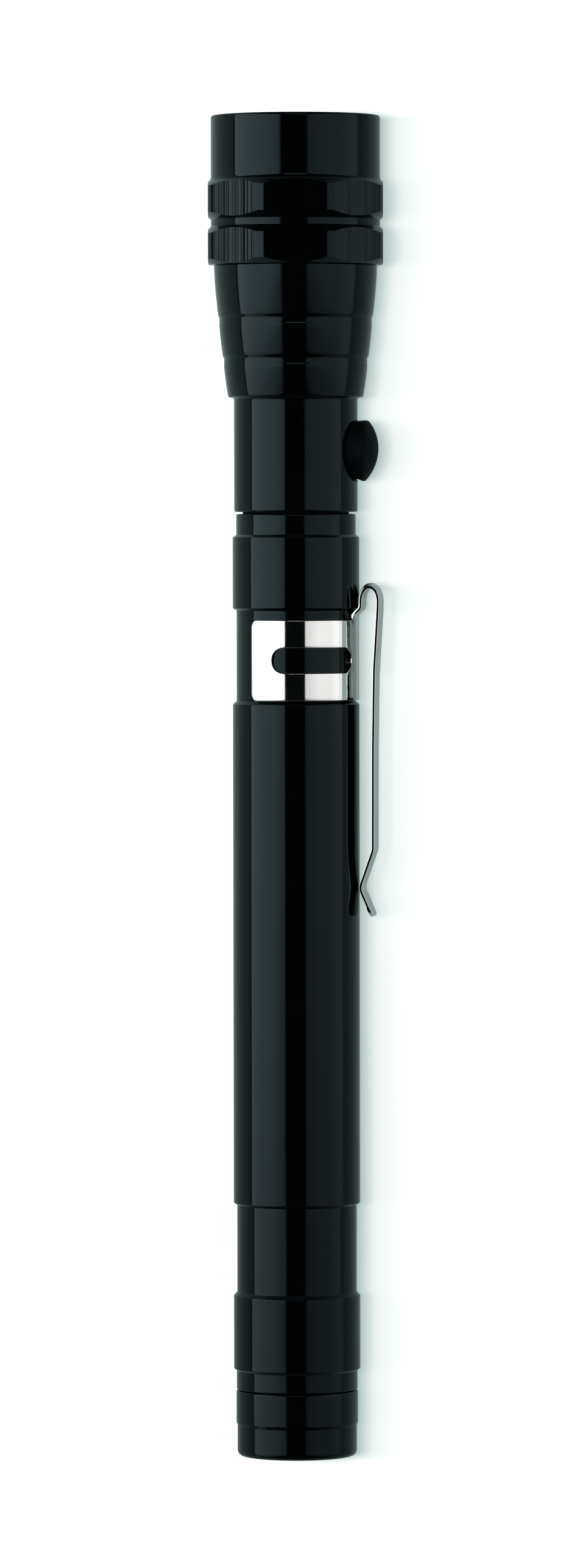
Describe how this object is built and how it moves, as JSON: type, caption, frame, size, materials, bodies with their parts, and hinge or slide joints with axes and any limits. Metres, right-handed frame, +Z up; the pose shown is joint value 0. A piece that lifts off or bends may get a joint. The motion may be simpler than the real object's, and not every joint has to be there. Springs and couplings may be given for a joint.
{
  "type": "telescopic flashlight",
  "caption": "Slim black flashlight with an octagonal twin-ring head, side button and pocket clip; the head pulls out of the barrel on nested rods and a gooseneck, with pick-up magnets.",
  "frame": {"origin": "on the surface the flashlight lies on, under the middle of its length and its axis", "axes": "+Y along the flashlight from its tail to its front, +X to the side with the button and clip, +Z up"},
  "size_m": [0.0221, 0.17, 0.0221],
  "materials": {
    "anodised": "gloss black anodised",
    "chrome": "polished chrome",
    "brass": "machined",
    "rubber": "matt black",
    "black_plastic": "moulded",
    "circuit_board": "solder mask",
    "nickel": "nickel plated",
    "reflector": "metallised",
    "diode_resin": "water clear"
  },
  "bodies": {
    "barrel": {"barrel": "anodised", "guide_bush": "black_plastic"},
    "tail_seal": {"tail_seal": "rubber"},
    "tail_cap": {"tail_cap": "anodised", "tail_magnet": "nickel"},
    "clip_band": {"clip_band": "chrome"},
    "clip_arm": {"clip_arm": "chrome"},
    "outer_rod": {"outer_rod": "chrome", "outer_rod_slider": "brass"},
    "middle_rod": {"middle_rod": "chrome", "middle_rod_bush": "brass"},
    "inner_rod": {"inner_rod": "chrome", "inner_rod_bush": "brass"},
    "neck_bush": {"neck_bush": "brass"},
    "head": {"switch_housing": "anodised", "neck_plug": "anodised", "gooseneck": "chrome", "neck_journal": "brass", "battery_sleeve": "black_plastic", "button_cells": "nickel", "battery_spring": "nickel", "contact_board": "circuit_board", "switch_carrier": "black_plastic", "push_switch": "black_plastic"},
    "button": {"button_cap": "rubber", "switch_plunger": "nickel"},
    "bezel_seal": {"bezel_seal": "rubber"},
    "bezel": {"bezel": "anodised", "light_plate": "reflector", "front_magnet": "nickel", "light_diodes": "diode_resin", "light_board": "circuit_board", "light_contact": "brass"}
  },
  "joints": [
    {"name": "outer_rod_slide", "type": "slide", "parent": "barrel", "child": "outer_rod", "axis": [0, 1, 0], "range_m": [0, 0.0952]},
    {"name": "middle_rod_slide", "type": "slide", "parent": "outer_rod", "child": "middle_rod", "axis": [0, 1, 0], "range_m": [0, 0.0992]},
    {"name": "inner_rod_slide", "type": "slide", "parent": "middle_rod", "child": "inner_rod", "axis": [0, 1, 0], "range_m": [0, 0.0992]},
    {"name": "neck_slide", "type": "slide", "parent": "inner_rod", "child": "neck_bush", "axis": [0, 1, 0], "range_m": [0, 0.09835]},
    {"name": "head_swivel", "type": "hinge", "parent": "neck_bush", "child": "head", "pos_m": [0, 0.03485, 0.01105], "axis": [0, 1, 0], "continuous": true},
    {"name": "button_press", "type": "slide", "parent": "head", "child": "button", "axis": [-0.9925, 0, -0.1219], "range_m": [0, 0.001], "stiffness_N_per_m": 1500},
    {"name": "bezel_lead", "type": "slide", "parent": "head", "child": "bezel_seal", "axis": [0, 1, 0], "range_m": [0, 0.00701]},
    {"name": "bezel_unscrew", "type": "hinge", "parent": "bezel_seal", "child": "bezel", "pos_m": [0, 0.0661, 0.01105], "axis": [0, 1, 0], "range_deg": [0, 2520]},
    {"name": "tail_cap_lead", "type": "slide", "parent": "barrel", "child": "tail_seal", "axis": [0, -1, 0], "range_m": [0, 0.00401]},
    {"name": "tail_cap_unscrew", "type": "hinge", "parent": "tail_seal", "child": "tail_cap", "pos_m": [0, -0.0768, 0.01105], "axis": [0, -1, 0], "range_deg": [0, 1440]},
    {"name": "clip_turn", "type": "hinge", "parent": "barrel", "child": "clip_band", "pos_m": [0, 0.0159, 0.01105], "axis": [0, 1, 0], "continuous": true},
    {"name": "clip_flex", "type": "hinge", "parent": "clip_band", "child": "clip_arm", "pos_m": [0.00951, 0.02435, 0.01222], "axis": [-0.1219, 0, 0.9925], "range_deg": [0, 5], "stiffness_Nm_per_rad": 1.5}
  ],
  "couplings": [
    {"joint": "bezel_lead", "follows": "bezel_unscrew", "m_per_rad": 0.00015915},
    {"joint": "tail_cap_lead", "follows": "tail_cap_unscrew", "m_per_rad": 0.00015915}
  ]
}
